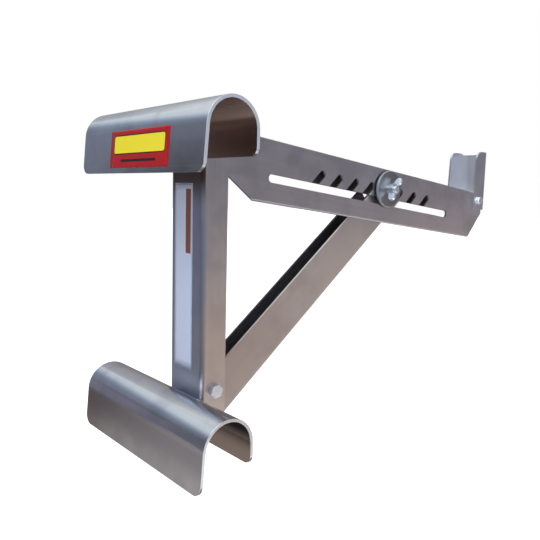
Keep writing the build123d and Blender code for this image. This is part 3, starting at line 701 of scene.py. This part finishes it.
# Post label: flat on the web
LABEL_Y, LABEL_Z = (-12.5 * MM, 23 * MM), (-258.5 * MM, -49 * MM)
WEB_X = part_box("post_channel")[LOW][X]


def on_post(u, v):
    """Point over the post's web: v runs up."""
    y = LABEL_Y[HIGH] + (LABEL_Y[LOW] - LABEL_Y[HIGH]) * u
    return WEB_X - LIFT, y, LABEL_Z[LOW] + (LABEL_Z[HIGH] - LABEL_Z[LOW]) * v


PAPER, SAND, RULE = (0.64, 0.70, 0.88), (0.26, 0.085, 0.055), (0.34, 0.39, 0.50)
LABEL = (LABEL_Y[HIGH] - LABEL_Y[LOW], LABEL_Z[HIGH] - LABEL_Z[LOW])
LABEL_MID = shares(LABEL, 0.5, 0.5)
RULE_INSET, RULE_CORNER, PAPER_INSET, PAPER_CORNER = 1.2 * MM, 1.6 * MM, 1.8 * MM, 1.2 * MM
BAND_FROM_SIDE, BAND_HALF_WIDTH, BAND_CORNER = 8.5 * MM, 5 * MM, 1.2 * MM
BAND_UP, BAND_HALF_SHARE = 0.80, 0.17
BAND_MID = (LABEL[X] - BAND_FROM_SIDE, BAND_UP * LABEL[Y])
BAND_HALF = (BAND_HALF_WIDTH, BAND_HALF_SHARE * LABEL[Y])
LABEL_ROWS, LABEL_COLS, LABEL_ROUGH = 24, 6, 0.35
label_plates = (
    (RULE, LABEL_MID, inset(LABEL_MID, RULE_INSET), RULE_CORNER),
    (PAPER, LABEL_MID, inset(LABEL_MID, PAPER_INSET), PAPER_CORNER),
    (SAND, BAND_MID, BAND_HALF, BAND_CORNER),
)
label_vinyl = vinyl("label_vinyl", LABEL, PAPER, label_plates, LABEL_ROUGH)
sticker_piece("post_label", LABEL_ROWS, LABEL_COLS, on_post, label_vinyl)


# Stage: white surroundings, pale floor, soft boards and one lamp
WHITE = (1, 1, 1, 1)
AMBIENT_TONE, AMBIENT = (0.75, 0.78, 0.82, 1), 0.85
FLOOR_Z, FLOOR_HALF, FLOOR_CELLS = -1.1, 30, 8
FLOOR_TONE, FLOOR_ROUGH, FLOOR_GLOW = (0.8, 0.8, 0.8, 1), 0.9, 0.85


def rays_that_see(tree):
    """1 for rays that look at the stage straight, in a reflection or through glass, else 0."""
    path = add(tree, "ShaderNodeLightPath").outputs
    straight_or_glossy = larger(tree, path["Is Camera Ray"], path["Is Glossy Ray"])
    return larger(tree, straight_or_glossy, path["Is Transmission Ray"])


def surround():
    world = bpy.data.worlds.new("studio")
    world.use_nodes = True
    scene.world = world
    tree = world.node_tree
    tree.nodes.clear()
    ambient = add(tree, "ShaderNodeBackground", Color=AMBIENT_TONE, Strength=AMBIENT)
    white = add(tree, "ShaderNodeBackground", Color=WHITE, Strength=1.0)
    choose = add(tree, "ShaderNodeMixShader")
    sources = (rays_that_see(tree), ambient.outputs[0], white.outputs[0])
    for source, socket in zip(sources, choose.inputs):
        tree.links.new(source, socket)
    tree.links.new(choose.outputs[0], add(tree, "ShaderNodeOutputWorld").inputs["Surface"])


def pale_floor():
    """Pale matt floor that looks white and keeps the object's shadow."""
    material, tree, shader = tree_of("pale_floor")
    shader.inputs["Base Color"].default_value = FLOOR_TONE
    shader.inputs["Roughness"].default_value = FLOOR_ROUGH
    glow = add(tree, "ShaderNodeEmission", Color=WHITE)
    tree.links.new(times(tree, rays_that_see(tree), FLOOR_GLOW), glow.inputs["Strength"])
    both = add(tree, "ShaderNodeAddShader")
    tree.links.new(shader.outputs[0], both.inputs[0])
    tree.links.new(glow.outputs[0], both.inputs[1])
    tree.links.new(both.outputs[0], tree.nodes["Material Output"].inputs["Surface"])
    return material


def lay_floor():
    form = bmesh.new()
    bmesh.ops.create_grid(form, x_segments=FLOOR_CELLS, y_segments=FLOOR_CELLS, size=FLOOR_HALF)
    floor = new_object("floor", form, pale_floor())
    floor.location = (0, 0, FLOOR_Z)


surround()
lay_floor()


# Boards: unseen by the camera, they shade what the metal reflects
AIM = Vector((0.28, -0.01, -0.15))
BOARD_CELLS = 6
WALL_HALF, WALL_WIDTH, WALL_AWAY = 1.6, 3.4, 1.6


def board_glow(name, axis, stops):
    """Glow that changes along one of the board's own axes."""
    material, tree, shader = tree_of(name)
    tree.nodes.remove(shader)
    shade = add(tree, "ShaderNodeEmission")
    along = split(tree, own(tree, "Generated"))[axis]
    tree.links.new(ramp(tree, along, stops), shade.inputs["Color"])
    tree.links.new(shade.outputs[0], tree.nodes["Material Output"].inputs["Surface"])
    return material


def board(name, at, turn, size, axis, stops):
    """Unit square stretched to its size."""
    form = bmesh.new()
    bmesh.ops.create_grid(form, x_segments=BOARD_CELLS, y_segments=BOARD_CELLS, size=0.5)
    bmesh.ops.scale(form, vec=(*size, 1), verts=form.verts)
    piece = new_object(name, form, board_glow(name, axis, stops))
    piece.location = at
    piece.rotation_euler = turn
    piece.visible_camera = False
    piece.visible_shadow = False
    piece.visible_diffuse = False


def wall(name, azimuth, tones, width=WALL_WIDTH, away=WALL_AWAY, low=-WALL_HALF, high=WALL_HALF):
    """Upright board at an azimuth from +X; tones are its colours at elevations in degrees."""
    facing = Vector((math.cos(math.radians(azimuth)), math.sin(math.radians(azimuth)), 0))
    stops = [((math.tan(math.radians(rise)) * away - low) / (high - low), colour) for rise, colour in tones]
    at = AIM + facing * away + Vector((0, 0, (low + high) / 2))
    board(name, at, facing.to_track_quat("Z", "Y").to_euler(), (width, high - low), Y, stops)


wall(
    "wall_right",
    azimuth=-49.5,
    tones=(
        (-20, (0.50, 0.41, 0.37)),
        (-8, (0.51, 0.43, 0.40)),
        (1, (0.235, 0.235, 0.285)),
        (25, (0.15, 0.155, 0.19)),
    ),
)
wall(
    "wall_left",
    azimuth=161.75,
    tones=(
        (-25, (0.40, 0.36, 0.34)),
        (-12, (0.145, 0.15, 0.195)),
        (8, (0.112, 0.118, 0.148)),
        (22, (0.15, 0.16, 0.19)),
        (36, (0.42, 0.46, 0.53)),
    ),
    width=1.44,
)
wall(
    "glow_low",
    azimuth=115.75,
    tones=(
        (-34, (0.82, 0.74, 0.71)),
        (-27, (0.22, 0.215, 0.23)),
        (-22, (0.23, 0.23, 0.265)),
        (-12, (0.25, 0.245, 0.31)),
        (0, (0.24, 0.232, 0.31)),
        (4, (0.20, 0.195, 0.26)),
    ),
    width=1.2,
    away=1.5,
    high=0.105,
)
wall(
    "glow_high",
    azimuth=116,
    tones=(
        (-11, (0.06, 0.057, 0.064)),
        (8.5, (0.06, 0.057, 0.06)),
        (11.5, (0.23, 0.235, 0.29)),
        (16, (0.23, 0.26, 0.335)),
        (21, (0.26, 0.31, 0.40)),
        (25, (0.42, 0.50, 0.64)),
        (29, (0.82, 0.92, 1.0)),
        (36, (0.92, 0.98, 1.0)),
        (41, (0.80, 0.86, 0.92)),
    ),
    width=4.8,
    away=6.0,
    low=-1.2,
    high=6.2,
)
wall(
    "glow_side",
    azimuth=113,
    tones=(
        (-10, (0.17, 0.165, 0.205)),
        (0, (0.20, 0.195, 0.25)),
        (11, (0.28, 0.32, 0.42)),
        (15, (0.23, 0.28, 0.36)),
    ),
    width=1.42,
    away=5.8,
    low=-1.2,
    high=1.55,
)
wall(
    "wall_front",
    azimuth=229.5,
    tones=((-20, (0.30, 0.27, 0.26)), (0, (0.26, 0.25, 0.29)), (25, (0.36, 0.39, 0.45))),
)
wall(
    "wall_back",
    azimuth=50,
    tones=(
        (-10, (0.24, 0.21, 0.20)),
        (4, (0.30, 0.28, 0.28)),
        (16, (0.40, 0.39, 0.41)),
        (34, (0.44, 0.46, 0.50)),
        (42, (0.60, 0.64, 0.70)),
    ),
)
wall(
    "window",
    azimuth=180,
    tones=(
        (-8, (0.15, 0.16, 0.19)),
        (4, (0.20, 0.21, 0.25)),
        (10, (0.52, 0.57, 0.66)),
        (25, (0.60, 0.66, 0.75)),
    ),
    width=2.0,
    away=1.5,
)
wall(
    "warm_card",
    azimuth=-27,
    tones=((-12, (0.62, 0.50, 0.45)), (-2, (0.50, 0.42, 0.39)), (4, (0.25, 0.24, 0.29))),
    width=0.6,
    away=1.4,
)

TABLE_DROP, TABLE_SIZE, TABLE_TURN = 0.42, (2.2, 1.7), math.radians(45)
TABLE_AT = Vector((0.35, 0.95, AIM.z - TABLE_DROP))
TABLE_TONES = (
    (0.07, (0.52, 0.47, 0.45)),
    (0.13, (0.45, 0.41, 0.39)),
    (0.19, (0.31, 0.28, 0.265)),
    (0.235, (0.17, 0.13, 0.12)),
    (0.8, (0.13, 0.10, 0.085)),
)
board("table", TABLE_AT, (0, 0, TABLE_TURN), TABLE_SIZE, X, TABLE_TONES)


# Lamp: one soft panel, high on the camera's side
LAMP_TOWARDS, LAMP_AWAY, LAMP_SIZE = Vector((-0.6, -0.35, 1.0)), 1.6, (1.4, 1.0)
LAMP_POWER, LAMP_TONE = 14, (0.88, 0.94, 1.0)


def light_up():
    data = bpy.data.lights.new("key", "AREA")
    data.shape = "RECTANGLE"
    data.size, data.size_y = LAMP_SIZE
    data.energy = LAMP_POWER
    data.color = LAMP_TONE
    lamp = bpy.data.objects.new("key", data)
    away = LAMP_TOWARDS.normalized()
    lamp.location = AIM + away * LAMP_AWAY
    lamp.rotation_euler = away.to_track_quat("Z", "Y").to_euler()
    lamp.visible_camera = False
    scene.collection.objects.link(lamp)


light_up()
